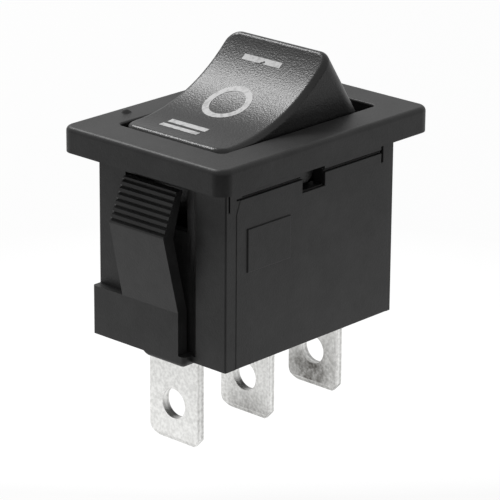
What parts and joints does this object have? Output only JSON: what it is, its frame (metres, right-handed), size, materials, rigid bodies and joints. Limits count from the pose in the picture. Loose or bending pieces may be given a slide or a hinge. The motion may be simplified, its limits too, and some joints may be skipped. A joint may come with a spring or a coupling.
{
  "type": "rocker switch",
  "caption": "Miniature snap-in rocker switch with a flanged bezel, a curved see-saw actuator, side snap arms and flat solder tabs.",
  "frame": {"origin": "middle of the panel seat, the flat underside of the bezel", "axes": "+Z out of the panel towards the user; +X along the bezel's long side, towards the rocker's raised end at rest; +Y across it"},
  "size_m": [0.021, 0.015, 0.0263],
  "materials": {
    "housing_nylon": "black moulded nylon, fine satin",
    "rocker_nylon": "black moulded nylon, satin",
    "plunger_acetal": "natural acetal",
    "spring_steel": "drawn spring wire",
    "bridge_copper": "rolled copper alloy",
    "contact_silver": "silver alloy, satin",
    "terminal_plated_brass": "silver plated, slightly tarnished"
  },
  "bodies": {
    "body": {"housing": "housing_nylon", "terminal_common": "terminal_plated_brass", "terminal_low": "terminal_plated_brass", "terminal_high": "terminal_plated_brass", "fixed_contact_low": "contact_silver", "fixed_contact_high": "contact_silver"},
    "rocker": {"rocker": "rocker_nylon", "plunger_spring": "spring_steel"},
    "plunger": {"plunger": "plunger_acetal"},
    "see_saw": {"contact_bridge": "bridge_copper", "moving_contact_low": "contact_silver", "moving_contact_high": "contact_silver"}
  },
  "joints": [
    {"name": "rocker_pivot", "type": "hinge", "parent": "body", "child": "rocker", "pos_m": [0.00013, 0, -0.00105], "axis": [0, 1, 0], "range_deg": [0, 46]},
    {"name": "plunger_slide", "type": "slide", "parent": "rocker", "child": "plunger", "axis": [-0.3907, 0, 0.9205], "range_m": [0, 0.0008], "stiffness_N_per_m": 1400, "springref_m": -0.0005, "deforming": ["plunger_spring"]},
    {"name": "see_saw_pivot", "type": "hinge", "parent": "body", "child": "see_saw", "pos_m": [0.00013, 0, -0.00873], "axis": [0, 1, 0], "range_deg": [-18.4, 0]}
  ],
  "couplings": [
    {"joint": "see_saw_pivot", "follows": "rocker_pivot", "ratio": -0.4}
  ]
}
